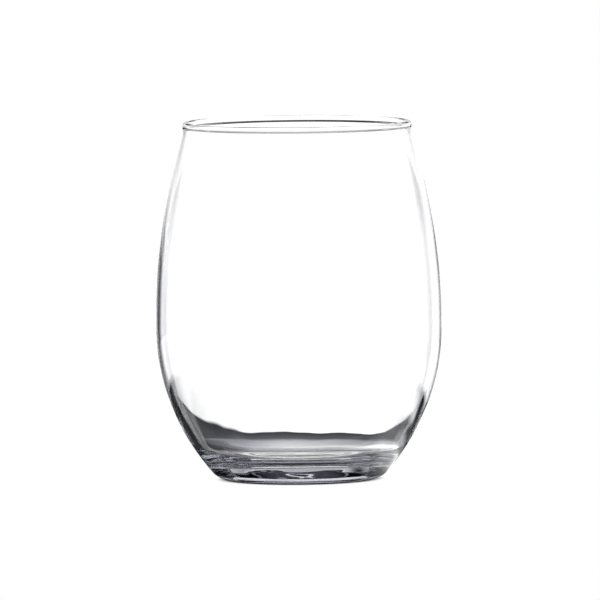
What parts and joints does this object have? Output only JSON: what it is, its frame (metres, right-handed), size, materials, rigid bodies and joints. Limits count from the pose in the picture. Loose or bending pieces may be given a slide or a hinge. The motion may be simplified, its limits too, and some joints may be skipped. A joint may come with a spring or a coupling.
{
  "type": "rocks glass",
  "caption": "Stemless egg-shaped drinking glass with a beaded rim, thin inward-leaning wall and thick base on a flat resting ring.",
  "frame": {"origin": "on the glass's axis, in the plane of the resting ring", "axes": "+Z along the axis, up through the mouth; X and Y are level and alike, because the glass is turned"},
  "size_m": [0.0816, 0.0816, 0.102],
  "materials": {
    "clear_glass": "clear, fire polished"
  },
  "bodies": {
    "root": {"tumbler": "clear_glass"}
  },
  "joints": []
}
